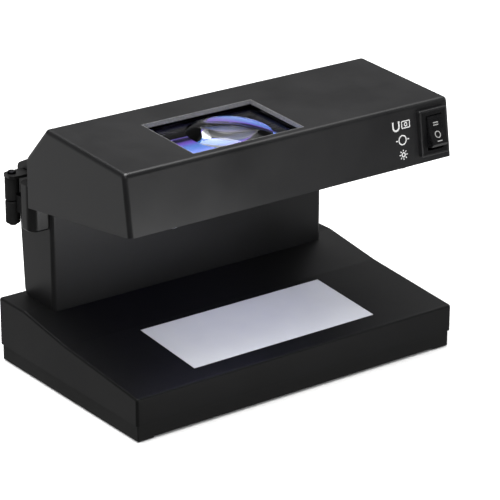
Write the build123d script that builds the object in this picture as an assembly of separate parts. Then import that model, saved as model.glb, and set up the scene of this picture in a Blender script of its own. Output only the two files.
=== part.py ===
from build123d import *
import math
import os

# Desktop banknote checker: wedge base, rear column, lamp head with a magnifier, and a swipe sensor.
# Millimetres. +X is the switch side, +Y is the rear, +Z is up, and Z = 0 is the table.

# ---------------------------------------------------------------- base
base_width = 196.2
base_depth = 123.4
base_front_height = 23.3
base_knee_height = 28.8
base_rear_height = 34.6
base_knee_depth = 62.0
base_flat_depth = 100.0
base_corner_radius = 1.4
parting_height = 9.1
tray_underside = 0.4
tray_inset = 0.9
tray_floor = 2.2
tray_lip_height = 3.0
tray_chamfer = 0.4
tray_wall = 2.7
relief_height = 0.9
relief_half_width = 88.0
relief_depth = 4.0
foot_radius = 6.0
foot_height = 2.1
foot_side_inset = 19.0
foot_end_inset = 21.0
base_screw_x = 84.0
base_screw_front_depth = 9.5
base_screw_rear_depth = 110.0
tray_vent_width = 3.0
tray_vent_pitch = 6.0
tray_vent_count = 4
tray_vent_first_x = -8.0
tray_vent_front_depth = 70.0
tray_vent_rear_depth = 100.0

# ---------------------------------------------------------------- column
column_half_width = 84.9
column_front_depth = 92.4
column_foot_depth = 119.0
column_top_depth = 123.2
column_top_front_height = 119.4
column_top_rear_height = 104.2
column_edge_radius = 2.2
column_top_radius = 4.0
column_foot_radius = 4.0
column_screw_outer_x = 62.0
column_screw_inner_x = 22.0
column_screw_depth = 106.5
column_post_height = 12.0
cover_screw_side_inset = 7.0
cover_screw_low_height = 44.0
cover_screw_high_height = 84.0
cover_vent_half_width = 40.0
cover_vent_gap = 2.0
cover_vent_pitch = 6.0
cover_vent_count = 5
cover_vent_first_height = 60.0
wire_way_half_width = 8.0
wire_way_low_height = 98.0
wire_way_high_height = 108.0

# ---------------------------------------------------------------- head
head_width = base_width
head_top_front_height = 134.0
head_top_rear_height = 137.7
head_front_top_depth = 8.0
head_front_low_depth = 3.5
head_front_low_height = 103.8
head_top_rear_depth = 74.9
head_bevel_low_height = 119.4
head_rear_low_height = 92.2
head_edge_radius = 2.4
head_cover_thickness = 2.0
lamp_bay_half_width = 72.0
lamp_bay_front_depth = 15.0
lamp_bay_rear_depth = 73.0
head_front_screw_x = 70.0
head_front_screw_inset = 6.4
head_rear_screw_x = 86.0
head_rear_screw_depth = 80.5

# ---------------------------------------------------------------- magnifier
window_left = -55.2
window_right = 10.2
window_front_depth = 13.0
window_rear_depth = 55.8
lens_plate_thickness = 1.8
lens_plate_border = 3.0
lens_drop = 1.8
front_border_share = 0.45
dome_x = -18.5
dome_depth = 34.5
dome_radius = 21.3
dome_rise = 5.0
retainer_wall = 1.8
retainer_floor = 1.6

# ---------------------------------------------------------------- lamps
tube_radius = 8.0
tube_length = 124.0
tube_wall = 0.8
tube_front_depth = 26.0
tube_rear_depth = 62.5
tube_front_height = 112.5
tube_rear_height = 110.5
cap_length = 6.0
cap_grip = 2.0
pin_radius = 1.1
pin_length = 5.0
pin_fit = 0.02
pin_spread = 2.6
holder_thickness = 6.5
holder_half_width = 8.0
holder_rise = 7.0
reflector_thickness = 0.6
reflector_lean = 5.0
reflector_end_inset = 7.0
reflector_roof_gap = 1.2

# ---------------------------------------------------------------- switch
surround_width = 17.6
surround_height = 23.6
surround_proud = 2.6
surround_edge_radius = 0.7
switch_x = 85.7
switch_height = 118.7
switch_flange_width = 15.0
switch_flange_height = 21.4
switch_flange_thickness = 1.2
switch_body_width = 12.4
switch_body_height = 19.0
switch_body_length = 15.0
terminal_width = 4.8
terminal_thickness = 0.8
terminal_length = 7.0
terminal_pitch = 6.0
rocker_width = 9.6
rocker_radius = 8.7
rocker_pivot_depth = 2.3
rocker_belly_depth = 7.0
rocker_flank_depth = 4.0
rocker_end_rise = 3.1
rocker_dip_rise = 1.7
rocker_tilt = 15.0
rocker_trunnion_radius = 1.1
rocker_trunnion_length = 0.8

# ---------------------------------------------------------------- swipe sensor
sensor_front_depth = 94.9
sensor_rear_depth = 107.5
sensor_proud = 10.1
sensor_low_height = 76.8
sensor_top_height = 101.0
sensor_round = 4.8
sensor_low_edge_radius = 1.2
magnet_head_width = 4.4
magnet_head_height = 9.0
magnet_head_proud = 3.5
magnet_head_root = 5.0
roller_radius = 3.7
roller_reach = 8.3
roller_edge_radius = 0.7
roller_bore_radius = 1.05
roller_pin_radius = 1.0
roller_seam = 0.4
roller_gap_to_head = 0.3
arm_thickness = 1.5
arm_corner_radius = 3.0
arm_lift = 0.3
arm_travel = 2.5
arm_tongue_width = 5.0
arm_tongue_forward = 3.0
arm_tongue_reach = 9.0
arm_tab_width = 4.0
arm_tab_thickness = 1.4
arm_tab_drop = 5.0
pin_head_radius = 2.2
pin_head_height = 1.4
pin_clip_radius = 1.9
pin_clip_height = 0.6
pin_tail = 1.0
spring_radius = 1.9
spring_wire_radius = 0.35
spring_length = 5.4
spring_pitch = 1.0
spring_gap = 0.1

# ---------------------------------------------------------------- inside the base
panel_width = 112.0
panel_front_depth = 12.0
panel_rear_depth = 58.0
panel_thickness = 2.0
panel_ledge = 3.0
led_board_length = 100.0
led_board_width = 34.0
board_thickness = 1.6
led_board_height = 9.0
led_length = 3.5
led_width = 2.8
led_height = 1.2
led_pitch = 13.0
led_count = 7
led_row_spread = 9.0
led_board_screw_x = 42.0
control_board_length = 58.0
control_board_width = 34.0
control_board_x = 52.0
control_board_depth = 84.0
control_board_height = 9.0
board_screw_spread_x = 24.0
board_screw_spread_y = 12.0
ballast_x = -38.0
ballast_depth = 84.0
ballast_length = 42.0
ballast_width = 30.0
ballast_height = 18.0
ballast_leg = 9.0
ballast_yoke = 6.0
winding_build = 2.4
buzzer_radius = 6.0
buzzer_height = 7.5
buzzer_shift = 10.0
buzzer_hole_radius = 1.2
buzzer_hole_depth = 1.5
fuse_radius = 2.5
fuse_length = 20.0
fuse_shift = 18.0
fuse_forward = 8.0
gland_x = 62.0
gland_height = 20.0
gland_hole_radius = 2.6
gland_neck_radius = 5.0
gland_flange_radius = 7.0
gland_flange = 2.2

# ---------------------------------------------------------------- shared
wall = 2.2
fit_gap = 0.2
press_gap = 0.05
edge_round = 1.2
screw_radius = 1.4
screw_hole_radius = 1.45
screw_head_radius = 2.8
screw_head_height = 1.8
screw_slot_width = 0.7
base_screw_length = 12.0
column_screw_length = 9.0
cover_screw_length = 10.0
head_screw_length = 11.0
board_screw_length = 5.0
post_radius = 3.6

LOW = (Align.CENTER, Align.CENTER, Align.MIN)


def from_front(distance):
    """Y position of a point that is the given distance behind the base's front."""
    return distance - base_depth / 2


# positions that several pieces share
column_front = from_front(column_front_depth)
column_foot = from_front(column_foot_depth)
column_rear = from_front(column_top_depth)
column_roof = 1.15 * wall
head_rear = column_front
tray_floor_top = tray_underside + tray_floor
base_screw_seat = tray_underside + 0.6 * screw_head_height
base_screws_at = [(side * base_screw_x, from_front(depth)) for side in (-1, 1)
                  for depth in (base_screw_front_depth, base_screw_rear_depth)]
cover_screws_at = [(side * (column_half_width - cover_screw_side_inset), z) for side in (-1, 1)
                   for z in (cover_screw_low_height, cover_screw_high_height)]
column_screws_at = [(side * x, from_front(column_screw_depth)) for side in (-1, 1)
                    for x in (column_screw_outer_x, column_screw_inner_x)]
head_front_screws_at = [(side * head_front_screw_x, from_front(head_front_low_depth + head_front_screw_inset))
                        for side in (-1, 1)]
head_rear_screws_at = [(side * head_rear_screw_x, from_front(head_rear_screw_depth)) for side in (-1, 1)]
head_screws_at = head_front_screws_at + head_rear_screws_at
board_screws_at = [(control_board_x + x * board_screw_spread_x,
                    from_front(control_board_depth) + y * board_screw_spread_y)
                   for x in (-1, 1) for y in (-1, 1)]


def line_height(first, last, at):
    """Height at a place along the straight line between two (y, z) points."""
    return first[1] + (last[1] - first[1]) * (at - first[0]) / (last[0] - first[0])


def base_top(y):
    """Height of the base's upper surface at a Y position."""
    front = (from_front(0.0), base_front_height)
    knee = (from_front(base_knee_depth), base_knee_height)
    flat = (from_front(base_flat_depth), base_rear_height)
    if y < knee[0]:
        return line_height(front, knee, y)
    if y < flat[0]:
        return line_height(knee, flat, y)
    return base_rear_height


def head_underside(y):
    """Height of the head's sloping underside at a Y position."""
    front = (from_front(head_front_low_depth), head_front_low_height)
    return line_height(front, (head_rear, head_rear_low_height), y)


def head_front(z):
    """Y position of the head's leaning front face at a height."""
    low = (head_front_low_height, from_front(head_front_low_depth))
    return line_height(low, (head_top_front_height, from_front(head_front_top_depth)), z)


def head_top(y):
    """Height of the head's slightly sloping top at a Y position."""
    front = (from_front(head_front_top_depth), head_top_front_height)
    return line_height(front, (from_front(head_top_rear_depth), head_top_rear_height), y)


def column_back(z):
    """Y position of the column's leaning rear face at a height."""
    return line_height((base_rear_height, column_foot), (column_top_rear_height, column_rear), z)


def column_top(y):
    """Height of the column's sloping top at a Y position."""
    return line_height((column_front, column_top_front_height), (column_rear, column_top_rear_height), y)


def prism(points, width, x=0.0):
    """Solid with the given (y, z) outline, as wide as width along X and centred on x."""
    outline = make_face(Plane.YZ * Polyline(*points, close=True))
    return Pos(x, 0, 0) * extrude(outline, amount=width / 2, both=True)


def block(x_limits, y_limits, z_limits):
    """Box between the given limits."""
    size = [high - low for low, high in (x_limits, y_limits, z_limits)]
    middle = [(low + high) / 2 for low, high in (x_limits, y_limits, z_limits)]
    return Pos(*middle) * Box(*size)


def upright(x, y, low, high, radius):
    """Vertical cylinder between two heights."""
    return Pos(x, y, low) * Cylinder(radius, high - low, align=LOW)


def lengthwise(y, z, left, right, radius):
    """Cylinder along X between two places."""
    return Plane(origin=(left, y, z), z_dir=(1, 0, 0)) * Cylinder(radius, right - left, align=LOW)


def joined(pieces):
    """All the given solids as one shape."""
    whole = pieces[0]
    for piece in pieces[1:]:
        whole = whole + piece
    return whole


def group(pieces):
    """Separate solids kept together as one shape."""
    return Compound([solid for piece in pieces for solid in piece.solids()])


def screw(length):
    """Cross-head screw whose head sits below Z = 0 and whose shank runs up."""
    head = Pos(0, 0, -screw_head_height) * Cylinder(screw_head_radius, screw_head_height, align=LOW)
    head = fillet(head.edges().group_by(Axis.Z)[0], screw_head_height * 0.4)
    shank = Cylinder(screw_radius, length, align=LOW)
    slot = Pos(0, 0, -screw_head_height) * Box(1.3 * screw_head_radius, screw_slot_width, screw_head_height)
    return head + shank - slot - Rot(0, 0, 90) * slot


def screws(places, direction, length):
    """A group of screws at the given points, all driven along one direction."""
    return group([Plane(origin=place, z_dir=direction) * screw(length) for place in places])


# ================================================================ base
def base_wedge(inset, low):
    """The base's wedge, drawn in from the sides and the top by inset, standing on the height low."""
    front = from_front(inset)
    rear = from_front(base_depth - inset)
    knee = from_front(base_knee_depth)
    flat = from_front(base_flat_depth)
    roof = base_rear_height - inset
    outline = [(front, low), (rear, low), (rear, roof), (flat, roof),
               (knee, base_knee_height - inset), (front, base_top(front) - inset)]
    return prism(outline, base_width - 2 * inset)


def panel_seat_frame():
    """Frame under the base's top that the light panel rests on."""
    front = from_front(panel_front_depth) - panel_ledge
    rear = from_front(panel_rear_depth) + panel_ledge
    deep = 2 * panel_thickness + fit_gap
    outline = [(front, base_top(front) - deep), (rear, base_top(rear) - deep),
               (rear, base_top(rear) - wall / 2), (front, base_top(front) - wall / 2)]
    return prism(outline, panel_width + 2 * panel_ledge)


def panel_aperture():
    """Opening inside the panel's ledge, which the lamps below shine through."""
    front = from_front(panel_front_depth) + panel_ledge
    rear = from_front(panel_rear_depth) - panel_ledge
    half = panel_width / 2 - panel_ledge
    return block((-half, half), (front, rear), (parting_height, base_rear_height))


def rounded_wedge():
    """The base's whole outer shape with its corners and its rims rounded."""
    body = base_wedge(0.0, parting_height)
    corners = body.edges().filter_by(Axis.Z).filter_by(lambda edge: abs(edge.center().X) > column_half_width)
    body = fillet(corners, base_corner_radius)
    upper = [edge for edge in body.edges() if edge.center().Z > base_front_height - edge_round]
    rims = [edge for edge in upper if not crosses_top(edge)]
    return fillet(rims, edge_round)


def crosses_top(edge):
    """Whether an edge is a crease that runs across the base's top, away from its front and rear rims."""
    along = edge.geom_type == GeomType.LINE and abs(edge.tangent_at(0.5).X) > 0.9
    return along and from_front(edge_round) < edge.center().Y < from_front(base_depth - edge_round)


def base_upper_shell():
    """Wedge-shaped cover of the base, with the seat for the light panel and the screw posts."""
    posts = joined([upright(x, y, tray_floor_top + fit_gap, base_rear_height, post_radius)
                    for x, y in base_screws_at])
    core = base_wedge(wall, parting_height - wall)
    inner = base_wedge(wall / 2, tray_floor_top)
    shell = rounded_wedge() - core + (posts & inner) + panel_seat_frame()
    shell = shell - light_panel_solid(fit_gap) - panel_aperture()
    for x, y in base_screws_at:
        shell = shell - upright(x, y, 0.0, base_top(y) - 2 * wall, screw_hole_radius)
    for x, y in column_screws_at:
        shell = shell - upright(x, y, base_rear_height - 2 * wall, base_rear_height + wall, screw_hole_radius)
    half = wire_way_half_width
    wire_way = block((-half, half), (column_front + half, column_foot - half),
                     (base_rear_height - 2 * wall, base_rear_height + wall))
    start = Plane(origin=(gland_x, from_front(base_depth) - 2 * wall, gland_height), z_dir=(0, 1, 0))
    return shell - wire_way - start * Cylinder(gland_neck_radius, 3 * wall, align=LOW)


def light_panel_solid(grow):
    """The translucent panel's solid, grown on its edges and underside by the given amount."""
    front = from_front(panel_front_depth) - grow
    rear = from_front(panel_rear_depth) + grow
    top = wall if grow > 0 else 0.0
    outline = [(front, base_top(front) - panel_thickness), (rear, base_top(rear) - panel_thickness),
               (rear, base_top(rear) + top), (front, base_top(front) + top)]
    return prism(outline, panel_width + 2 * grow)


def tray_body():
    """The tray's outer shape and its lip, hollowed, with the relief along its front."""
    half = base_width / 2 - tray_inset
    front = from_front(tray_inset)
    outer = block((-half, half), (front, from_front(base_depth - tray_inset)),
                  (tray_underside, parting_height - press_gap))
    outer = fillet(outer.edges().filter_by(Axis.Z), base_corner_radius - tray_inset)
    outer = chamfer(outer.edges().group_by(Axis.Z)[0], tray_chamfer)
    lip_inset = wall + fit_gap
    lip_half = base_width / 2 - lip_inset
    lip = block((-lip_half, lip_half), (from_front(lip_inset), from_front(base_depth - lip_inset)),
                (parting_height - edge_round, parting_height + tray_lip_height))
    hollow_inset = tray_inset + tray_wall
    hollow_half = base_width / 2 - hollow_inset
    hollow_ends = (from_front(hollow_inset), from_front(base_depth - hollow_inset))
    hollow = block((-hollow_half, hollow_half), hollow_ends,
                   (tray_floor_top, parting_height + 2 * tray_lip_height))
    relief = block((-relief_half_width, relief_half_width), (front - relief_depth, front + relief_depth),
                   (0.0, tray_underside + relief_height))
    return outer + lip - hollow - relief


def base_bottom_tray():
    """Shallow tray that closes the base from below, with its board posts, vents and foot recesses."""
    tray = tray_body()
    for x, y in base_screws_at:
        tray = tray - upright(x, y, 0.0, tray_floor_top + wall, screw_hole_radius)
        tray = tray - upright(x, y, 0.0, base_screw_seat, screw_head_radius + fit_gap)
    for x, y in feet_at():
        tray = tray - upright(x, y, 0.0, foot_height, foot_radius)
    posts = [upright(x, y, foot_height + press_gap, control_board_height, post_radius)
             for x, y in board_screws_at]
    posts += [upright(side * led_board_screw_x, led_board_y(), foot_height + press_gap, led_board_height,
                      post_radius) for side in (-1, 1)]
    tray = joined([tray] + posts)
    for x, y in board_screws_at:
        tray = tray - upright(x, y, control_board_height / 2, control_board_height + wall, screw_hole_radius)
    vents = [block((x - tray_vent_width / 2, x + tray_vent_width / 2),
                   (from_front(tray_vent_front_depth), from_front(tray_vent_rear_depth)),
                   (0.0, tray_floor_top + wall))
             for x in [tray_vent_first_x + tray_vent_pitch * step for step in range(tray_vent_count)]]
    return tray - joined(vents)


def feet_at():
    """Centres of the four feet."""
    x = base_width / 2 - foot_side_inset
    return [(side * x, from_front(depth)) for side in (-1, 1)
            for depth in (foot_end_inset, base_depth - foot_end_inset)]


def rubber_feet():
    """Four round feet pressed into the tray's recesses."""
    feet = []
    for x, y in feet_at():
        foot = upright(x, y, 0.0, foot_height, foot_radius - press_gap)
        feet.append(fillet(foot.edges().group_by(Axis.Z)[0], 0.4))
    return group(feet)


def led_board_y():
    """Y position of the light panel's lamp board."""
    return from_front((panel_front_depth + panel_rear_depth) / 2)


def led_board():
    """Narrow board under the light panel."""
    return Pos(0, led_board_y(), led_board_height) * Box(led_board_length, led_board_width, board_thickness,
                                                         align=LOW)


def panel_leds():
    """Two rows of small lamps on the lamp board."""
    top = led_board_height + board_thickness
    first = -led_pitch * (led_count - 1) / 2
    lamps = [Pos(first + led_pitch * step, led_board_y() + row * led_row_spread, top)
             * Box(led_length, led_width, led_height, align=LOW)
             for step in range(led_count) for row in (-1, 1)]
    return group(lamps)


def control_board():
    """Circuit board of the sensor and the lamps, on its four posts."""
    place = Pos(control_board_x, from_front(control_board_depth), control_board_height)
    board = place * Box(control_board_length, control_board_width, board_thickness, align=LOW)
    for x, y in board_screws_at:
        board = board - upright(x, y, 0.0, base_rear_height, screw_hole_radius)
    return board


def ballast_core():
    """Stack of steel sheets with two windows, which feeds the lamps."""
    x, y = ballast_x, from_front(ballast_depth)
    half_length, half_width = ballast_length / 2, ballast_width / 2
    core = block((x - half_length, x + half_length), (y - half_width, y + half_width),
                 (tray_floor_top, tray_floor_top + ballast_height))
    window = (ballast_length - 3 * ballast_leg) / 2
    reach = half_width - ballast_yoke
    for side in (-1, 1):
        middle = x + side * (ballast_leg + window) / 2
        core = core - block((middle - window / 2, middle + window / 2), (y - reach, y + reach),
                            (0.0, base_rear_height))
    return core


def ballast_coil():
    """Winding around the middle leg of the core."""
    x, y = ballast_x, from_front(ballast_depth)
    half = (ballast_length - 3 * ballast_leg) / 2 + ballast_leg / 2 - fit_gap
    reach = ballast_width / 2 - ballast_yoke - fit_gap
    top = tray_floor_top + ballast_height
    coil = block((x - half, x + half), (y - reach, y + reach),
                 (tray_floor_top + fit_gap, top + winding_build))
    leg = ballast_leg / 2 + fit_gap
    return coil - block((x - leg, x + leg), (y - ballast_width, y + ballast_width), (0.0, top + fit_gap))


def buzzer():
    """Round sounder on the control board."""
    low = control_board_height + board_thickness
    high = low + buzzer_height
    x, y = control_board_x + buzzer_shift, from_front(control_board_depth)
    body = upright(x, y, low, high, buzzer_radius)
    return body - upright(x, y, high - buzzer_hole_depth, high + buzzer_hole_depth, buzzer_hole_radius)


def fuse():
    """Cartridge fuse lying on the control board."""
    z = control_board_height + board_thickness + fuse_radius
    left = control_board_x - fuse_shift
    depth = from_front(control_board_depth) - fuse_forward
    return lengthwise(depth, z, left, left + fuse_length, fuse_radius)


def cord_gland():
    """Rubber bush in the base's rear wall."""
    face = from_front(base_depth)
    start = Plane(origin=(gland_x, face - wall - gland_flange, gland_height), z_dir=(0, 1, 0))
    flange = start * Cylinder(gland_flange_radius, gland_flange, align=LOW)
    neck = start * Cylinder(gland_neck_radius - press_gap, gland_flange + wall, align=LOW)
    return flange + neck - start * Cylinder(gland_hole_radius, 2 * (gland_flange + wall), align=LOW)


# ================================================================ column
def column_solid():
    """The column's whole outer shape, before it is hollowed and divided."""
    outline = [(column_front, base_top(column_front)), (from_front(base_flat_depth), base_rear_height),
               (column_foot, base_rear_height), (column_rear, column_top_rear_height),
               (column_front, column_top_front_height)]
    body = prism(outline, 2 * column_half_width)
    crosswise = body.edges().filter_by(Axis.X)
    body = fillet([edge for edge in crosswise if edge.center().Y > column_rear - 0.1], column_top_radius)
    low = [edge for edge in body.edges().filter_by(Axis.X) if edge.center().Z < base_rear_height + 0.1]
    foot = [edge for edge in low if abs(edge.center().Y - column_foot) < 0.1]
    body = fillet(foot, column_foot_radius)
    front = [edge for edge in body.edges().filter_by(Axis.Z) if edge.center().Y < column_front + 0.1]
    return fillet(front, column_edge_radius)


def column_cavity():
    """Space inside the column, open to the rear and below."""
    front = column_front + wall
    rear = column_rear + 2 * wall
    low = base_top(front) - wall
    outline = [(front, low), (rear, low), (rear, column_top(rear) - column_roof),
               (front, column_top(front) - column_roof)]
    return prism(outline, 2 * (column_half_width - wall))


def column_shell():
    """Front, sides and top of the column, with its screw posts."""
    shell = column_solid() - column_cavity()
    inner_front = column_front + wall / 2
    for x, y in column_screws_at:
        shell = shell + block((x - post_radius, x + post_radius), (inner_front, y + post_radius),
                              (base_rear_height, base_rear_height + column_post_height))
        shell = shell - upright(x, y, base_rear_height - wall, base_rear_height + column_post_height - wall,
                                screw_hole_radius)
    for x, z in cover_screws_at:
        rear = column_back(z - post_radius) - wall - fit_gap
        inward = math.copysign(column_half_width - wall / 2, x)
        limits = (min(x - post_radius, inward), max(x + post_radius, inward))
        shell = shell + block(limits, (inner_front, rear), (z - post_radius, z + post_radius))
        hole = Plane(origin=(x, column_rear + wall, z), z_dir=(0, -1, 0))
        shell = shell - hole * Cylinder(screw_hole_radius, column_rear - inner_front - 2 * wall, align=LOW)
    return shell - wire_way(column_front) - arm_slot()


def wire_way(face):
    """Opening for the wires between the column and the head, through the walls on both sides of a face."""
    return block((-wire_way_half_width, wire_way_half_width), (face - 2 * wall, face + 2 * wall),
                 (wire_way_low_height, wire_way_high_height))


def column_rear_cover():
    """Leaning plate that closes the column from behind, with its vents."""
    low = base_rear_height + fit_gap
    high = column_top(column_rear) - column_roof - 4 * fit_gap
    bottom, top = column_back(low), column_back(high)
    outline = [(bottom - wall, low), (bottom + wall, low), (top + wall, high), (top - wall, high)]
    cover = prism(outline, 2 * (column_half_width - wall - fit_gap))
    cover = cover & column_solid()
    for x, z in cover_screws_at:
        way = Plane(origin=(x, column_back(z) + wall, z), z_dir=(0, -1, 0))
        cover = cover - way * Cylinder(screw_hole_radius, 3 * wall, align=LOW)
        cover = cover - way * Cylinder(screw_head_radius + fit_gap, wall + screw_head_height / 2, align=LOW)
    across = (-cover_vent_half_width, cover_vent_half_width)
    slots = [block(across, (column_foot - 3 * wall, column_rear + wall), (z, z + cover_vent_gap))
             for z in [cover_vent_first_height + cover_vent_pitch * step for step in range(cover_vent_count)]]
    return cover - joined(slots)


# ================================================================ head
def head_outline(drop):
    """Side outline of the head as a face, with its underside lowered by drop."""
    low = head_front_low_height - drop
    points = [(head_front(low), low), (head_rear, head_rear_low_height - drop),
              (head_rear, head_bevel_low_height),
              (from_front(head_top_rear_depth), head_top_rear_height),
              (from_front(head_front_top_depth), head_top_front_height)]
    return make_face(Plane.YZ * Polyline(*points, close=True))


def head_solid():
    """The head's whole outer shape."""
    body = extrude(head_outline(0.0), amount=head_width / 2, both=True)
    under = [edge for edge in body.edges() if abs(edge.tangent_at(0.5).Z) < 0.5
             and edge.center().Z < head_front_low_height + 0.1]
    rear = [edge for edge in body.edges() if edge.center().Y > head_rear - 0.1]
    kept_sharp = under + rear
    return fillet([edge for edge in body.edges() if edge not in kept_sharp], head_edge_radius)


def head_cavity():
    """Space inside the head, open below."""
    inner = offset(head_outline(3 * wall), amount=-wall, kind=Kind.INTERSECTION)
    return extrude(inner, amount=head_width / 2 - wall, both=True)


def front_plane():
    """Plane on the head's front face at the switch, with its normal pointing out of the face."""
    rise = head_top_front_height - head_front_low_height
    normal = (0.0, -rise, head_front_top_depth - head_front_low_depth)
    return Plane(origin=(switch_x, head_front(switch_height), switch_height), x_dir=(1, 0, 0), z_dir=normal)


def switch_surround():
    """Raised frame on the front face around the switch."""
    frame = Box(surround_width, surround_height, surround_proud + wall, align=LOW)
    outer = frame.edges().filter_by(Axis.Z) + frame.edges().group_by(Axis.Z)[-1]
    return fillet(outer, surround_edge_radius)


def switch_opening():
    """Space for the switch's flange and for its body behind it."""
    seat = Pos(0, 0, wall + surround_proud - switch_flange_thickness) * Box(
        switch_flange_width + fit_gap, switch_flange_height + fit_gap, 2 * wall, align=LOW)
    way = Pos(0, 0, -wall) * Box(switch_body_width + fit_gap, switch_body_height + fit_gap,
                                 surround_proud + 3 * wall, align=LOW)
    return seat + way


def head_upper_shell():
    """Top, front, sides and bevel of the head, with the switch's raised surround and the lens opening."""
    start = front_plane() * Pos(0, 0, -wall)
    shell = head_solid() - head_cavity() + start * switch_surround() - start * switch_opening()
    window = block((window_left, window_right), plate_limits(0.0),
                   (head_top_front_height - 3 * wall, head_top_rear_height + wall))
    shell = shell - window
    for x, y in head_screws_at:
        foot = head_underside(y) + head_cover_thickness + wall
        post = upright(x, y, foot, head_top_rear_height, post_radius)
        shell = shell + (post & head_solid())
        shell = shell - upright(x, y, foot - wall, foot + head_screw_length, screw_hole_radius)
    return shell - wire_way(head_rear)


def head_lower_cover():
    """Sloping plate that closes the head from below, with the opening for the lamps."""
    front = head_front(head_front_low_height + head_cover_thickness) + wall + fit_gap
    rear = head_rear - wall - fit_gap
    thick = head_cover_thickness
    outline = [(front, head_underside(front)), (rear, head_underside(rear)),
               (rear, head_underside(rear) + thick), (front, head_underside(front) + thick)]
    cover = prism(outline, head_width - 2 * wall - 2 * fit_gap)
    low, high = head_rear_low_height - wall, head_front_low_height + 2 * wall
    cover = cover - block((-lamp_bay_half_width, lamp_bay_half_width),
                          (from_front(lamp_bay_front_depth), from_front(lamp_bay_rear_depth)), (low, high))
    for x, y in head_screws_at:
        cover = cover - upright(x, y, low, high, screw_hole_radius)
        cover = cover - upright(x, y, low, head_screw_seat(y), screw_head_radius + fit_gap)
    return cover


def head_screw_seat(y):
    """Height of the face that a head screw's head presses on."""
    return head_underside(y) + head_cover_thickness / 5


def roof_line(y, below):
    """Point on a line that runs a given distance under the head's top wall, measured upright."""
    return (y, head_top(y) - wall - press_gap - below)


def plate_limits(border):
    """Front and rear Y position of the window with a border, which is narrower beside the front wall."""
    front = from_front(window_front_depth) - front_border_share * border
    return front, from_front(window_rear_depth) + border


def magnifier_lens():
    """Clear plate under the window, with a shallow dome that magnifies."""
    border = lens_plate_border - fit_gap
    front, rear = plate_limits(border)
    middle = (window_left + window_right) / 2
    low = lens_drop + lens_plate_thickness
    plate = prism([roof_line(front, low), roof_line(rear, low), roof_line(rear, lens_drop),
                   roof_line(front, lens_drop)], window_right - window_left + 2 * border, middle)
    y = from_front(dome_depth)
    plate_top = roof_line(y, lens_drop)[1]
    ball_radius = (dome_radius ** 2 + dome_rise ** 2) / (2 * dome_rise)
    slope = (head_top_rear_height - head_top_front_height) / (head_top_rear_depth - head_front_top_depth)
    upward = Plane(origin=(dome_x, y, plate_top), z_dir=(0, -slope, 1))
    ball = Pos(0, 0, dome_rise - ball_radius) * Sphere(ball_radius)
    dome = ball & (Pos(0, 0, -lens_plate_thickness / 2) * Cylinder(dome_radius, 2 * dome_rise, align=LOW))
    return plate + upward * dome


def lens_retainer():
    """Frame under the head's top wall that carries the lens plate by its border."""
    border = lens_plate_border
    front, rear = plate_limits(border)
    near, far = plate_limits(border + retainer_wall)
    width = window_right - window_left
    middle = (window_left + window_right) / 2
    deep = lens_drop + lens_plate_thickness + fit_gap
    body = prism([roof_line(near, deep + retainer_floor), roof_line(far, deep + retainer_floor),
                  roof_line(far, 0.0), roof_line(near, 0.0)], width + 2 * border + 2 * retainer_wall, middle)
    pocket = prism([roof_line(front, deep), roof_line(rear, deep), roof_line(rear, -wall),
                    roof_line(front, -wall)], width + 2 * border, middle)
    opening = block((window_left, window_right), plate_limits(0.0),
                    (head_rear_low_height, head_top_rear_height))
    return body - pocket - opening


def lamp_reflector():
    """Bent bright sheet above the tubes, open under the lens."""
    front = from_front(lamp_bay_front_depth) - lens_plate_border
    rear = from_front(lamp_bay_rear_depth) + lens_plate_border
    carried = lens_drop + lens_plate_thickness + retainer_floor
    roof = head_top_front_height - wall - carried - 2 * reflector_roof_gap
    foot_front = head_underside(front) + head_cover_thickness + 2 * fit_gap
    foot_rear = head_underside(rear) + head_cover_thickness + 2 * fit_gap
    half = lamp_bay_half_width - reflector_end_inset
    outer = prism([(front, foot_front), (rear, foot_rear), (rear - reflector_lean, roof),
                   (front + reflector_lean, roof)], 2 * half)
    thin = reflector_thickness
    skin = 1.1 * thin
    inner = prism([(front + skin, foot_front - wall), (rear - skin, foot_rear - wall),
                   (rear - reflector_lean - skin, roof - thin), (front + reflector_lean + skin, roof - thin)],
                  4 * half)
    eye = block((window_left, window_right), plate_limits(0.0), (roof - 2 * wall, roof + wall))
    return outer - inner - eye


def tube_places():
    """(y, z) of the front and the rear tube's axis."""
    return [(from_front(tube_front_depth), tube_front_height),
            (from_front(tube_rear_depth), tube_rear_height)]


def uv_tube(y, z):
    """Glass lamp tube, closed at its ends."""
    half = tube_length / 2
    glass = lengthwise(y, z, -half, half, tube_radius)
    return glass - lengthwise(y, z, -half + 1.0, half - 1.0, tube_radius - tube_wall)


def tube_end_caps():
    """Four metal caps with two pins each, on the ends of the tubes."""
    caps = []
    half = tube_length / 2
    for y, z in tube_places():
        for side in (-1, 1):
            inner, outer = side * (half - cap_grip), side * (half + cap_length - cap_grip)
            cap = lengthwise(y, z, *sorted((inner, outer)), tube_radius + tube_wall / 2)
            cap = cap - lengthwise(y, z, *sorted((side * half, 0.0)), tube_radius + pin_fit)
            for offset in (-pin_spread, pin_spread):
                cap = cap + lengthwise(y, z + offset, *sorted((outer, outer + side * pin_length)), pin_radius)
            caps.append(cap)
    return group(caps)


def lamp_holders():
    """Four sockets that carry the tube pins, standing on the lower cover."""
    holders = []
    start = tube_length / 2 + cap_length - cap_grip + fit_gap
    for y, z in tube_places():
        low = head_underside(y - holder_half_width) + head_cover_thickness + fit_gap
        for side in (-1, 1):
            limits = sorted((side * start, side * (start + holder_thickness)))
            holder = block(limits, (y - holder_half_width, y + holder_half_width), (low, z + holder_rise))
            for offset in (-pin_spread, pin_spread):
                holder = holder - lengthwise(y, z + offset, limits[0] - wall, limits[1] + wall,
                                             pin_radius + press_gap)
            holders.append(holder)
    return group(holders)


# ================================================================ switch
def switch_plane():
    """Plane on the outer face of the switch's flange."""
    return front_plane() * Pos(0, 0, surround_proud)


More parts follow.
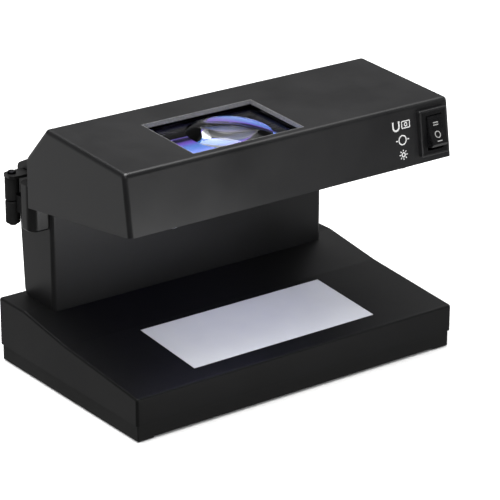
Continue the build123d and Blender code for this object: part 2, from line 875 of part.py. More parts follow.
def crosswise(depth, reach, radius):
    """Cylinder along X, at a depth under the flange's face, reaching as far on both sides."""
    return Plane(origin=(-reach, 0, -depth), z_dir=(1, 0, 0)) * Cylinder(radius, 2 * reach, align=LOW)


def switch_housing():
    """Flanged body of the rocker switch, open at the front."""
    flange = Pos(0, 0, -switch_flange_thickness) * Box(switch_flange_width, switch_flange_height,
                                                       switch_flange_thickness + fit_gap, align=LOW)
    flange = fillet(flange.edges().group_by(Axis.Z)[-1], fit_gap)
    body = Pos(0, 0, -switch_body_length) * Box(switch_body_width, switch_body_height, switch_body_length,
                                                align=LOW)
    hollow = Box(rocker_width + 2 * fit_gap, 2 * (rocker_radius + fit_gap), 2 * switch_body_length, align=LOW)
    hollow = Pos(0, 0, wall - switch_body_length) * hollow
    bore = crosswise(rocker_pivot_depth, rocker_width / 2 + rocker_trunnion_length + fit_gap,
                     rocker_trunnion_radius + press_gap)
    return switch_plane() * (flange + body - hollow - bore)


def switch_rocker():
    """Three-position rocker, resting with its upper end pressed in."""
    half = rocker_radius
    flank = 0.8 * half
    points = [(-half, rocker_end_rise), (0.0, rocker_dip_rise), (half, rocker_end_rise),
              (flank, -rocker_flank_depth), (0.0, -rocker_belly_depth), (-flank, -rocker_flank_depth)]
    outline = make_face(Plane.YZ * Polyline(*points, close=True))
    key = extrude(outline, amount=rocker_width / 2, both=True)
    key = key & crosswise(rocker_pivot_depth, rocker_width, rocker_radius)
    reach = rocker_width / 2 + rocker_trunnion_length
    key = key + crosswise(rocker_pivot_depth, reach, rocker_trunnion_radius)
    pressed = Pos(0, 0, -rocker_pivot_depth) * Rot(-rocker_tilt, 0, 0) * Pos(0, 0, rocker_pivot_depth)
    return switch_plane() * (pressed * key)


def switch_terminals():
    """Three flat tabs behind the switch body."""
    low = -switch_body_length - terminal_length
    tab = Box(terminal_width, terminal_thickness, terminal_length, align=LOW)
    tabs = [Pos(0, step * terminal_pitch, low) * tab for step in (-1, 0, 1)]
    return group([switch_plane() * tab for tab in tabs])


# ================================================================ swipe sensor
sensor_x = -column_half_width - sensor_proud
sensor_front = from_front(sensor_front_depth)
sensor_rear = from_front(sensor_rear_depth)
roller_x = -column_half_width - roller_reach
magnet_x = roller_x + magnet_head_width / 4
roller_y = sensor_rear + magnet_head_proud + roller_gap_to_head + roller_radius
arm_low = sensor_top_height + arm_lift
tongue_y = roller_y - arm_tongue_forward


def sensor_housing():
    """Rounded upright block on the column's side that holds the magnetic head."""
    body = block((sensor_x, -column_half_width), (sensor_front, sensor_rear),
                 (sensor_low_height, sensor_top_height))
    outer = [edge for edge in body.edges().filter_by(Axis.Z) if edge.center().X < -column_half_width - 1.0]
    body = fillet(outer, sensor_round)
    low = [edge for edge in body.edges().group_by(Axis.Z)[0] if edge.center().X < -column_half_width - 0.1]
    return fillet(low, sensor_low_edge_radius) - magnet_solid(press_gap)


def magnet_solid(grow):
    """Solid of the magnetic head, grown by the given amount."""
    middle = (sensor_low_height + sensor_top_height) / 2
    half_width = magnet_head_width / 2 + grow
    half_height = magnet_head_height / 2 + grow
    return block((magnet_x - half_width, magnet_x + half_width),
                 (sensor_rear - magnet_head_root - grow, sensor_rear + magnet_head_proud),
                 (middle - half_height, middle + half_height))


def magnetic_head():
    """Reading head with a rounded nose towards the rollers."""
    head = magnet_solid(0.0)
    nose = [edge for edge in head.edges().filter_by(Axis.Z) if edge.center().Y > sensor_rear]
    return fillet(nose, 0.4 * magnet_head_width)


def arm_slot():
    """Slot in the column's side that the arm's tongue slides in."""
    gap = arm_lift
    return block((-column_half_width - wall, -column_half_width + 2 * wall),
                 (tongue_y - arm_tongue_width / 2 - gap, tongue_y + arm_tongue_width / 2 + arm_travel + gap),
                 (arm_low - gap, arm_low + arm_thickness + gap))


def pressure_arm():
    """Plate over the rollers that carries their pin, with a tongue into the column and a spring tab."""
    outer_x = -column_half_width
    front = tongue_y - arm_tongue_width / 2
    plate = block((roller_x - roller_radius, outer_x - arm_lift), (front, roller_y + roller_radius),
                  (arm_low, arm_low + arm_thickness))
    outer = [edge for edge in plate.edges().filter_by(Axis.Z) if edge.center().X < roller_x]
    plate = fillet(outer, arm_corner_radius)
    tongue = block((outer_x - wall, outer_x + arm_tongue_reach), (front, front + arm_tongue_width),
                   (arm_low, arm_low + arm_thickness))
    tab = block((outer_x + arm_tongue_reach - arm_tab_width, outer_x + arm_tongue_reach),
                (front, front + arm_tab_thickness), (arm_low - arm_tab_drop, arm_low + arm_thickness))
    bore = upright(roller_x, roller_y, arm_low - wall, arm_low + 2 * wall, roller_pin_radius)
    return plate + tongue + tab - bore


def roller_pin():
    """Headed pin that hangs from the arm and carries the two rollers."""
    low = sensor_low_height - pin_tail
    top = arm_low + arm_thickness
    pin = upright(roller_x, roller_y, low, top, roller_pin_radius)
    head = upright(roller_x, roller_y, top, top + pin_head_height, pin_head_radius)
    head = fillet(head.edges().group_by(Axis.Z)[-1], pin_head_height / 2)
    clip = upright(roller_x, roller_y, low, low + pin_clip_height, pin_clip_radius)
    return pin + head + clip


def pressure_roller(level):
    """One of the two rollers on the pin, counted from below."""
    height = (arm_low - arm_lift - sensor_low_height - roller_seam) / 2
    low = sensor_low_height + level * (height + roller_seam)
    roller = upright(roller_x, roller_y, low, low + height, roller_radius)
    roller = fillet(roller.edges(), roller_edge_radius)
    return roller - upright(roller_x, roller_y, low - wall, low + height + wall, roller_bore_radius)


def arm_spring():
    """Small coil behind the arm's tab."""
    x = -column_half_width + arm_tongue_reach - arm_tab_width / 2
    y = tongue_y - arm_tongue_width / 2 + arm_tab_thickness + spring_gap + spring_wire_radius
    path = Helix(pitch=spring_pitch, height=spring_length, radius=spring_radius - spring_wire_radius)
    section = Plane(origin=path @ 0, z_dir=path % 0) * Circle(spring_wire_radius)
    coil = sweep(section, path=path)
    return Plane(origin=(x, y, arm_low - spring_radius - spring_gap), z_dir=(0, 1, 0)) * coil


def base_screws():
    """Four screws that hold the tray to the shell's posts."""
    return screws([(x, y, base_screw_seat) for x, y in base_screws_at], (0, 0, 1), base_screw_length)


def column_screws():
    """Four screws that hold the column to the base from below."""
    places = [(x, y, base_rear_height - wall) for x, y in column_screws_at]
    return screws(places, (0, 0, 1), column_screw_length)


def cover_screws():
    """Four screws that hold the rear cover."""
    return screws([(x, column_back(z) - screw_head_height / 2, z) for x, z in cover_screws_at], (0, -1, 0),
                  cover_screw_length)


def head_screws():
    """Four screws that hold the head's lower cover."""
    return screws([(x, y, head_screw_seat(y)) for x, y in head_screws_at], (0, 0, 1), head_screw_length)


def board_screws():
    """Four screws that hold the control board."""
    top = control_board_height + board_thickness
    return screws([(x, y, top) for x, y in board_screws_at], (0, 0, -1), board_screw_length)


os.makedirs("parts", exist_ok=True)
parts = {
    "base_upper_shell": base_upper_shell(),
    "base_bottom_tray": base_bottom_tray(),
    "rubber_feet": rubber_feet(),
    "base_screws": base_screws(),
    "light_panel": light_panel_solid(0.0),
    "panel_led_board": led_board(),
    "panel_leds": panel_leds(),
    "control_board": control_board(),
    "board_screws": board_screws(),
    "ballast_core": ballast_core(),
    "ballast_coil": ballast_coil(),
    "buzzer": buzzer(),
    "fuse": fuse(),
    "cord_gland": cord_gland(),
    "column_shell": column_shell(),
    "column_screws": column_screws(),
    "column_rear_cover": column_rear_cover(),
    "cover_screws": cover_screws(),
    "head_upper_shell": head_upper_shell(),
    "head_lower_cover": head_lower_cover(),
    "head_screws": head_screws(),
    "magnifier_lens": magnifier_lens(),
    "lens_retainer": lens_retainer(),
    "lamp_reflector": lamp_reflector(),
    "uv_tube_front": uv_tube(*tube_places()[0]),
    "uv_tube_rear": uv_tube(*tube_places()[1]),
    "tube_end_caps": tube_end_caps(),
    "lamp_holders": lamp_holders(),
    "switch_housing": switch_housing(),
    "switch_rocker": switch_rocker(),
    "switch_terminals": switch_terminals(),
    "sensor_housing": sensor_housing(),
    "magnetic_head": magnetic_head(),
    "pressure_arm": pressure_arm(),
    "roller_pin": roller_pin(),
    "pressure_roller_lower": pressure_roller(0),
    "pressure_roller_upper": pressure_roller(1),
    "arm_spring": arm_spring(),
}
boxes = [solid.bounding_box() for solid in parts.values()]
middle_y = (min(box.min.Y for box in boxes) + max(box.max.Y for box in boxes)) / 2
for name, solid in parts.items():
    export_step(Pos(0, -middle_y, 0) * solid, f"parts/{name}.step")
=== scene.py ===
import math

import bpy
import numpy as np
from mathutils import Matrix, Vector


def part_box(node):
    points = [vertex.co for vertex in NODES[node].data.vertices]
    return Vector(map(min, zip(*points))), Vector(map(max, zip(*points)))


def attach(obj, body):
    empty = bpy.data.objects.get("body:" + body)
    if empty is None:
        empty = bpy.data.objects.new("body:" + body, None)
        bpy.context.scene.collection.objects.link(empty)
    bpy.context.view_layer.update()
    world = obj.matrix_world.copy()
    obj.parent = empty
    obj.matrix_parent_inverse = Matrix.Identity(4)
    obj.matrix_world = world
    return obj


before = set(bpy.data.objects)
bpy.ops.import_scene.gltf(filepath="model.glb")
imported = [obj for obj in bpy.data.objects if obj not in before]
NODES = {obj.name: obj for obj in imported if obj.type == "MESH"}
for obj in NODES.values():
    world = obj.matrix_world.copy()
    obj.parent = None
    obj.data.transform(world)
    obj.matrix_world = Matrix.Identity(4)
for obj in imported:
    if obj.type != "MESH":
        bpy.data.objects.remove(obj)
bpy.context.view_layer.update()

MM = 0.001
# the window opening in the head: sides in X, near and far edges behind the base's front
WINDOW_LEFT, WINDOW_RIGHT, WINDOW_NEAR, WINDOW_FAR = -55.2 * MM, 10.2 * MM, 13.0 * MM, 55.8 * MM


# ---------------------------------------------------------------- colours and nodes
def linear(code):
    """Linear red, green, blue and alpha of an sRGB hex colour."""
    channels = [int(code[i:i + 2], 16) / 255 for i in (1, 3, 5)]
    return (*[c / 12.92 if c <= 0.04045 else ((c + 0.055) / 1.055) ** 2.4 for c in channels], 1.0)


def add_node(tree, kind, links=(), stops=(), **settings):
    """Adds a node. Settings set its properties, or its inputs when their name starts with in_; links join
    (output socket, input name) pairs; stops are a colour ramp's (position, colour) pairs, low to high."""
    made = tree.nodes.new(kind)
    for position, colour in stops[1:-1]:
        made.color_ramp.elements.new(position)
    for element, (position, colour) in zip(made.color_ramp.elements if stops else (), stops):
        element.position = position
        element.color = colour
    for name, value in settings.items():
        if name.startswith("in_"):
            socket = name[3:].replace("_", " ")
            made.inputs[int(socket) if socket.isdigit() else socket].default_value = value
        else:
            setattr(made, name, value)
    for source, target in links:
        tree.links.new(source, made.inputs[target])
    return made


def new_material(name):
    """An empty material with its shader and its Object coordinates."""
    material = bpy.data.materials.new(name)
    material.use_nodes = True
    tree = material.node_tree
    shader = tree.nodes["Principled BSDF"]
    place = add_node(tree, "ShaderNodeTexCoord").outputs["Object"]
    return material, tree, shader, place


def grey(value):
    """A grey as a colour."""
    return (value, value, value, 1.0)


def grain_bump(tree, place, shader, size_mm, depth_mm, strength):
    """Raised grain of a given size, as a bump on the shader's normal."""
    grain = add_node(tree, "ShaderNodeTexNoise", [(place, "Vector")], in_Scale=1.0 / (size_mm * MM),
                     in_Detail=3.0, in_Roughness=0.6)
    bump = add_node(tree, "ShaderNodeBump", [(grain.outputs["Fac"], "Height")], in_Strength=strength,
                    in_Distance=depth_mm * MM)
    tree.links.new(bump.outputs["Normal"], shader.inputs["Normal"])


def moulded(name, dark, light, rough, grain_mm=0.5, grain_strength=0.25, specular=0.5, coat=0.0):
    """Moulded plastic: two close colours that drift over the part, roughness that drifts with them, and the
    grain that a spark-eroded mould leaves, drawn several times coarser than real so that it shows."""
    material, tree, shader, place = new_material(name)
    cloud = add_node(tree, "ShaderNodeTexNoise", [(place, "Vector")], in_Scale=1.0 / (38 * MM),
                     in_Detail=4.0, in_Roughness=0.55)
    fine = add_node(tree, "ShaderNodeTexNoise", [(place, "Vector")], in_Scale=1.0 / (grain_mm * MM),
                    in_Detail=2.0)
    both = add_node(tree, "ShaderNodeMix", [(cloud.outputs["Fac"], 2), (fine.outputs["Fac"], 3)], in_0=0.45)
    colour = add_node(tree, "ShaderNodeValToRGB", [(both.outputs[0], 0)],
                      stops=[(0.38, linear(dark)), (0.62, linear(light))])
    polish = add_node(tree, "ShaderNodeValToRGB", [(both.outputs[0], 0)],
                      stops=[(0.35, grey(rough - 0.05)), (0.65, grey(rough + 0.05))])
    tree.links.new(colour.outputs[0], shader.inputs["Base Color"])
    tree.links.new(polish.outputs[0], shader.inputs["Roughness"])
    shader.inputs["Specular IOR Level"].default_value = specular
    shader.inputs["IOR"].default_value = 1.53
    shader.inputs["Coat Weight"].default_value = coat
    shader.inputs["Coat Roughness"].default_value = 0.2
    grain_bump(tree, place, shader, grain_mm, 0.03, grain_strength)
    return material


def paint_lit_window_walls(material):
    """Pale, matt walls of the window opening: painted light, a grey that stands in for the light falling on
    the walls. The share of pale colour is one inside the opening's plan rectangle grown by a small margin,
    where the shell has no other face."""
    tree = material.node_tree
    shader = tree.nodes["Principled BSDF"]
    moulded_colour = shader.inputs["Base Color"].links[0].from_socket
    place = add_node(tree, "ShaderNodeTexCoord").outputs["Object"]
    split = add_node(tree, "ShaderNodeSeparateXYZ", [(place, "Vector")])
    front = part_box("base_upper_shell")[0].y
    left, right, near, far = WINDOW_LEFT, WINDOW_RIGHT, front + WINDOW_NEAR, front + WINDOW_FAR
    margin = 0.25 * MM
    in_width = add_node(tree, "ShaderNodeMath", [(split.outputs["X"], 0)], operation="COMPARE",
                        in_1=(left + right) / 2, in_2=(right - left) / 2 + margin)
    in_depth = add_node(tree, "ShaderNodeMath", [(split.outputs["Y"], 0)], operation="COMPARE",
                        in_1=(near + far) / 2, in_2=(far - near) / 2 + margin)
    share = add_node(tree, "ShaderNodeMath", [(in_width.outputs[0], 0), (in_depth.outputs[0], 1)],
                     operation="MULTIPLY")
    lit_wall_mottle = add_node(tree, "ShaderNodeTexNoise", [(place, "Vector")], in_Scale=1.0 / (0.8 * MM),
                         in_Detail=3.0)
    # painted light: pale grey on the window walls, where light falls on them
    pale = add_node(tree, "ShaderNodeValToRGB", [(lit_wall_mottle.outputs["Fac"], 0)],
                    stops=[(0.35, linear("#666666")), (0.65, linear("#828282"))])
    shown = add_node(tree, "ShaderNodeMix",
                     [(share.outputs[0], 0), (moulded_colour, 6), (pale.outputs[0], 7)], data_type="RGBA")
    tree.links.new(shown.outputs[2], shader.inputs["Base Color"])


def metal(name, dark, light, rough, stretch=(1.0, 1.0, 1.0), scale_mm=0.6):
    """Metal: fine marks drawn out along one direction change its colour, its roughness and its height."""
    material, tree, shader, place = new_material(name)
    turned = add_node(tree, "ShaderNodeMapping", [(place, "Vector")], in_Scale=stretch)
    marks = add_node(tree, "ShaderNodeTexNoise", [(turned.outputs["Vector"], "Vector")],
                     in_Scale=1.0 / (scale_mm * MM), in_Detail=4.0)
    colour = add_node(tree, "ShaderNodeValToRGB", [(marks.outputs["Fac"], 0)],
                      stops=[(0.35, linear(dark)), (0.65, linear(light))])
    polish = add_node(tree, "ShaderNodeValToRGB", [(marks.outputs["Fac"], 0)],
                      stops=[(0.35, grey(rough)), (0.65, grey(rough + 0.12))])
    bump = add_node(tree, "ShaderNodeBump", [(marks.outputs["Fac"], "Height")], in_Strength=0.2,
                    in_Distance=0.02 * MM)
    tree.links.new(colour.outputs[0], shader.inputs["Base Color"])
    tree.links.new(polish.outputs[0], shader.inputs["Roughness"])
    tree.links.new(bump.outputs["Normal"], shader.inputs["Normal"])
    shader.inputs["Metallic"].default_value = 1.0
    return material


def clear(name, colour, rough, ior):
    """Clear cast or blown material with the faintest waves on its surface."""
    material, tree, shader, place = new_material(name)
    wave = add_node(tree, "ShaderNodeTexNoise", [(place, "Vector")], in_Scale=1.0 / (25 * MM), in_Detail=2.0)
    tint = add_node(tree, "ShaderNodeValToRGB", [(wave.outputs["Fac"], 0)],
                    stops=[(0.3, linear(colour)), (0.7, linear("#ffffff"))])
    bump = add_node(tree, "ShaderNodeBump", [(wave.outputs["Fac"], "Height")], in_Strength=0.02,
                    in_Distance=0.1 * MM)
    tree.links.new(tint.outputs[0], shader.inputs["Base Color"])
    tree.links.new(bump.outputs["Normal"], shader.inputs["Normal"])
    shader.inputs["Transmission Weight"].default_value = 1.0
    shader.inputs["Roughness"].default_value = rough
    shader.inputs["IOR"].default_value = ior
    return material


def lamp_glass(name, node, strength, round_colours):
    """Phosphor-coated lamp glass, lit. Its colours go round the tube by the share of its width that a point
    has reached, front to rear; its glow fades to dark at the electrodes, by the share of the half length."""
    material, tree, shader, place = new_material(name)
    low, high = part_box(node)
    split = add_node(tree, "ShaderNodeSeparateXYZ", [(place, "Vector")])
    along = add_node(tree, "ShaderNodeMath", [(split.outputs["X"], 0)], operation="ABSOLUTE")
    share = add_node(tree, "ShaderNodeMath", [(along.outputs[0], 0)], operation="DIVIDE",
                     in_1=(high.x - low.x) / 2)
    mottle = add_node(tree, "ShaderNodeTexNoise", [(place, "Vector")], in_Scale=1.0 / (6 * MM),
                      in_Detail=3.0)
    worn = add_node(tree, "ShaderNodeMath", [(mottle.outputs["Fac"], 0), (share.outputs[0], 2)],
                    operation="MULTIPLY_ADD", in_1=0.08)
    across = add_node(tree, "ShaderNodeMapRange", [(split.outputs["Y"], 0)], in_1=low.y, in_2=high.y)
    # where these colours fall to dark, as on the rear lamp, they are painted shade in the glow
    around = add_node(tree, "ShaderNodeValToRGB", [(across.outputs[0], 0)],
                      stops=[(share_across, linear(code)) for share_across, code in round_colours])
    glow = add_node(tree, "ShaderNodeValToRGB", [(worn.outputs[0], 0)],
                    stops=[(0.82, grey(1.0)), (1.0, grey(0.03))])
    shown = add_node(tree, "ShaderNodeMix", [(around.outputs[0], 6), (glow.outputs[0], 7)],
                     data_type="RGBA", blend_type="MULTIPLY", in_0=1.0)
    coating = add_node(tree, "ShaderNodeValToRGB", [(worn.outputs[0], 0)],
                       stops=[(0.5, linear("#cdbfff")), (1.0, linear("#4a4456"))])
    tree.links.new(shown.outputs[2], shader.inputs["Emission Color"])
    tree.links.new(coating.outputs[0], shader.inputs["Base Color"])
    shader.inputs["Emission Strength"].default_value = strength
    shader.inputs["Roughness"].default_value = 0.12
    return material


def opal(name):
    """Opal acrylic: milky, satin face, light passes softly."""
    material, tree, shader, place = new_material(name)
    cloud = add_node(tree, "ShaderNodeTexNoise", [(place, "Vector")], in_Scale=1.0 / (14 * MM), in_Detail=3.0)
    colour = add_node(tree, "ShaderNodeValToRGB", [(cloud.outputs["Fac"], 0)],
                      stops=[(0.3, linear("#d9dadd")), (0.7, linear("#dddee0"))])
    polish = add_node(tree, "ShaderNodeValToRGB", [(cloud.outputs["Fac"], 0)],
                      stops=[(0.3, grey(0.3)), (0.7, grey(0.38))])
    tree.links.new(colour.outputs[0], shader.inputs["Base Color"])
    tree.links.new(polish.outputs[0], shader.inputs["Roughness"])
    shader.inputs["IOR"].default_value = 1.49
    shader.inputs["Subsurface Weight"].default_value = 0.35
    shader.inputs["Subsurface Radius"].default_value = (0.004, 0.004, 0.004)
    shader.inputs["Subsurface Scale"].default_value = 1.0
    grain_bump(tree, place, shader, 0.35, 0.02, 0.15)
    return material


def board_lacquer():
    """Green solder lacquer over a copper pattern."""
    material, tree, shader, place = new_material("green_solder_lacquer")
    tracks = add_node(tree, "ShaderNodeTexBrick", [(place, "Vector")], in_Scale=1.0 / (9 * MM),
                      in_Mortar_Size=0.03, in_Color1=linear("#0f4a26"), in_Color2=linear("#125a2d"),
                      in_Mortar=linear("#2b7a45"))
    tree.links.new(tracks.outputs["Color"], shader.inputs["Base Color"])
    shader.inputs["Roughness"].default_value = 0.3
    grain_bump(tree, place, shader, 0.8, 0.02, 0.1)
    return material


# ---------------------------------------------------------------- finishes
# grained ABS, near black and satin: takes broad soft reflections
COLUMN_ABS = moulded("grained_black_abs_column", "#0e0e0f", "#131314", 0.40, specular=0.4)
# the base's mouldings are a little duller and darker than the rest: painted shade, a shaded copy of the
# ABS that stands in for the shadowed floor close by, which their faces mirror
SHADED_BASE_ABS = moulded("grained_black_abs_base_painted_shade", "#0b0b0b", "#101011", 0.44, specular=0.22)
# the same ABS, a separate moulding for the head, a touch glossier
HEAD_ABS = moulded("grained_black_abs_head", "#101011", "#161617", 0.34)
# the head's window walls get painted light: a pale grey that stands in for the light on them
paint_lit_window_walls(HEAD_ABS)
# underside mouldings come from a rougher mould and look flatter
LOWER_ABS = moulded("flat_black_abs", "#0b0b0b", "#101010", 0.55, grain_mm=0.7, grain_strength=0.35,
                    specular=0.28)
# small glossy mouldings of the sensor: narrow, brighter reflections
SENSOR_ABS = moulded("polished_black_abs", "#0c0c0c", "#111111", 0.32, grain_mm=0.4, grain_strength=0.12,
                     specular=0.42)
# nylon of the rocker switch's body: blacker and smoother than the housing round it
SWITCH_NYLON = moulded("switch_nylon", "#070708", "#0b0b0c", 0.3, grain_mm=0.3, grain_strength=0.1,
                       specular=0.3)
# nylon of the rocker: the smoothest black of all, from many fingers
ROCKER_NYLON = moulded("rocker_nylon", "#09090a", "#0e0e0f", 0.26, grain_mm=0.3, grain_strength=0.08,
                       specular=0.36)
# rubber of the feet, rollers and gland: no gloss, slightly dusty
RUBBER = moulded("dusty_black_rubber", "#0d0d0d", "#161616", 0.7, grain_mm=0.4, grain_strength=0.4,
                 specular=0.3)
# the buzzer's case: warm black, half matt
BUZZER_PLASTIC = moulded("black_phenolic", "#131313", "#1c1b1a", 0.45)
# lamp holders: warm white, waxy
HOLDER_PLASTIC = moulded("white_lamp_nylon", "#d9d8d2", "#e6e5e0", 0.4, grain_strength=0.1)
# tape round the ballast's winding: amber, glossy and slightly wrinkled
COIL_TAPE = moulded("yellow_winding_tape", "#b98d1d", "#d0a32c", 0.35, grain_mm=1.2)
# lamps under the light panel: pale water-clear casting over a warm chip
LED_CAST = moulded("clear_cast_led", "#e9e4c8", "#f6f3e2", 0.2, grain_strength=0.05)
# zinc-plated screws: dull white metal
SCREW_STEEL = metal("zinc_plated_steel", "#8f9092", "#b4b5b7", 0.28)
# the roller pin: blue-black steel, oiled
PIN_STEEL = metal("black_oxide_steel", "#18181a", "#232326", 0.3, (1, 1, 8))
# the arm's spring: bright drawn wire
SPRING_WIRE = metal("drawn_spring_wire", "#85868a", "#aeb0b4", 0.25)
# the ballast's stacked plates: dark steel with fine lines between them
CORE_STEEL = metal("stacked_core_steel", "#5c5d60", "#85868a", 0.4, (1, 12, 1))
# the magnetic head's can: black coated, faint upright brushing
HEAD_METAL = metal("black_coated_head_can", "#0c0c0d", "#141415", 0.35, (1, 1, 10))
# the lamp reflector: satin grey, with long rolling marks that streak its reflections
REFLECTOR = metal("satin_rolled_aluminium", "#85868b", "#a3a4aa", 0.25, (0.05, 1, 1), 1.2)
# lamp end caps: spun aluminium with rings of fine marks
CAP_METAL = metal("spun_aluminium", "#9a9b9e", "#c2c3c6", 0.24, (8, 1, 1))
# switch terminals: warm yellow metal under a thin tin coat
TERMINAL_BRASS = metal("tinned_brass", "#a08240", "#c2a55e", 0.3)
# black coated sheet steel of the sensor arm: smooth lacquer over a fine texture
ARM_COAT = moulded("black_coated_sheet", "#0b0b0b", "#101010", 0.34, grain_mm=0.3, grain_strength=0.2,
                   coat=0.2)
# the magnifier: clear, bends what lies beneath it
LENS = clear("cast_lens_acrylic", "#ececf8", 0.01, 1.49)
# the fuse's tube: thin clear glass
FUSE_GLASS = clear("drawn_fuse_glass", "#f0f6f4", 0.02, 1.5)
# the front lamp burns bright: azure on top, between a lilac front and a violet line at the rear
FRONT_LAMP = lamp_glass("lit_phosphor_glass", "uv_tube_front", 1.1,
                        [(0.05, "#b9a6ff"), (0.2, "#2f95e6"), (0.84, "#2f95e6"), (0.97, "#9a4ff0")])
# the rear lamp glows dimmer: azure at its front, falling through violet to dark on top and behind, the
# dark being painted shade in its glow for the less lit rear of the window
REAR_LAMP = lamp_glass("dim_phosphor_glass_painted_shade", "uv_tube_rear", 0.75,
                       [(0.22, "#2f9be0"), (0.4, "#8f62e8"), (0.6, "#3d2f66")])
# the light panel: milky white, satin
OPAL = opal("opal_acrylic")
# both circuit boards: glossy green lacquer with paler tracks
BOARD = board_lacquer()

FINISHES = {
    "base_upper_shell": SHADED_BASE_ABS, "base_bottom_tray": LOWER_ABS, "rubber_feet": RUBBER,
    "base_screws": SCREW_STEEL, "light_panel": OPAL, "panel_led_board": BOARD, "panel_leds": LED_CAST,
    "control_board": BOARD, "board_screws": SCREW_STEEL, "ballast_core": CORE_STEEL, "ballast_coil": COIL_TAPE,
    "buzzer": BUZZER_PLASTIC, "fuse": FUSE_GLASS, "cord_gland": RUBBER, "column_shell": COLUMN_ABS,
    "column_screws": SCREW_STEEL, "column_rear_cover": COLUMN_ABS, "cover_screws": SCREW_STEEL,
    "head_upper_shell": HEAD_ABS, "head_lower_cover": LOWER_ABS, "head_screws": SCREW_STEEL,
    "magnifier_lens": LENS, "lens_retainer": LOWER_ABS, "lamp_reflector": REFLECTOR, "uv_tube_front": FRONT_LAMP,
    "uv_tube_rear": REAR_LAMP, "tube_end_caps": CAP_METAL, "lamp_holders": HOLDER_PLASTIC,
    "switch_housing": SWITCH_NYLON, "switch_rocker": ROCKER_NYLON, "switch_terminals": TERMINAL_BRASS,
    "sensor_housing": SENSOR_ABS, "magnetic_head": HEAD_METAL, "pressure_arm": ARM_COAT, "roller_pin": PIN_STEEL,
    "pressure_roller_lower": RUBBER, "pressure_roller_upper": RUBBER, "arm_spring": SPRING_WIRE,
}
for node_name, finish in FINISHES.items():
    mesh = NODES[node_name].data
    mesh.materials.clear()
    mesh.materials.append(finish)


# ---------------------------------------------------------------- printed marks
HEAD_LOW, HEAD_HIGH = 103.8 * MM, 134.0 * MM
FACE_LOW, FACE_HIGH = 3.5 * MM, 8.0 * MM
SWITCH_X, SWITCH_Z, SURROUND = 85.7 * MM, 118.7 * MM, 2.6 * MM
PIVOT_DEPTH, ROCKER_HALF, END_RISE, DIP_RISE = 2.3 * MM, 8.7 * MM, 3.1 * MM, 1.7 * MM
ROCKER_TILT = math.radians(15.0)


def face_place(u, v, lift):
    """Points on the head's leaning front face: u is X, v is height, and lift is the distance out of the face.
    The face's depth is a straight line in height, and its normal is that line turned by a right angle."""
    lean = (FACE_HIGH - FACE_LOW) / (HEAD_HIGH - HEAD_LOW)
    length = math.hypot(1.0, lean)
    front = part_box("base_upper_shell")[0].y
    y = front + FACE_LOW + lean * (v - HEAD_LOW)
    return np.stack([u, y - lift / length, v + lift * lean / length], -1)


def rocker_place(u, v, lift):
    """Points on the rocker's hollowed face: u runs along X and v up the rocker. The face's height is the dip's
    plus a share of the rise that grows straight with the distance from the middle; the whole is then turned
    back by the rocker's tilt about its pivot and stood on the switch's plane."""
    out = DIP_RISE + (END_RISE - DIP_RISE) * np.abs(v) / ROCKER_HALF + lift + PIVOT_DEPTH
    along = v * math.cos(ROCKER_TILT) + out * math.sin(ROCKER_TILT)
    away = out * math.cos(ROCKER_TILT) - v * math.sin(ROCKER_TILT) - PIVOT_DEPTH + SURROUND
    lean = (FACE_HIGH - FACE_LOW) / (HEAD_HIGH - HEAD_LOW)
    length = math.hypot(1.0, lean)
    origin = face_place(np.array(SWITCH_X), np.array(SWITCH_Z), 0.0)
    return origin + np.stack([u, (along * lean - away) / length, (along + away * lean) / length], -1)


def ribbon(centre, width, closed, lift=0.05 * MM, sink=0.03 * MM):
    """A printed line as a thin closed strip. Its four corner rows are the centre line moved half the width
    to either side, square to the line, each at the sunk and at the lifted height."""
    run = np.roll(centre, -1, 0) - np.roll(centre, 1, 0) if closed else np.gradient(centre, axis=0)
    run = run / np.linalg.norm(run, axis=1, keepdims=True)
    side = np.stack([-run[:, 1], run[:, 0]], -1) * width / 2
    plan = np.stack([centre + side, centre + side, centre - side, centre - side], 1)
    rise = np.broadcast_to(np.array([-sink, lift, lift, -sink]), plan.shape[:2])
    count = len(centre)
    index = np.arange(4 * count).reshape(count, 4)
    following = np.roll(index, -1, 0) if closed else index[1:]
    first = index if closed else index[:-1]
    turned_first, turned_next = np.roll(first, -1, 1), np.roll(following, -1, 1)
    faces = np.stack([first, turned_first, turned_next, following], -1).reshape(-1, 4)
    if not closed:
        faces = np.concatenate([faces, index[:1, ::-1], index[-1:]])
    return plan.reshape(-1, 2), rise.reshape(-1), faces


def printed(name, lines, place, material, body):
    """One print made of many lines, each carried onto the surface by place."""
    points, faces, start = [], [], 0
    for centre, width, closed in lines:
        plan, rise, strip = ribbon(np.asarray(centre), width, closed)
        points.append(place(plan[:, 0], plan[:, 1], rise))
        faces.append(strip + start)
        start += len(plan)
    mesh = bpy.data.meshes.new(name)
    mesh.from_pydata(np.concatenate(points).tolist(), [], np.concatenate(faces).tolist())
    mesh.materials.append(material)
    piece = bpy.data.objects.new(name, mesh)
    bpy.context.scene.collection.objects.link(piece)
    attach(piece, body)


def arc(x, y, radius, first=0, last=360, steps=24):
    """Points on a circle's arc between two angles in degrees. A whole circle leaves out its last point, because
    it is the first one again."""
    turn = np.radians(np.linspace(first, last, steps, endpoint=abs(last - first) < 360))
    return np.stack([x + radius * np.cos(turn), y + radius * np.sin(turn)], -1)


def bar(x0, y0, x1, y1):
    """Points along a straight line."""
    return np.linspace((x0, y0), (x1, y1), 3)


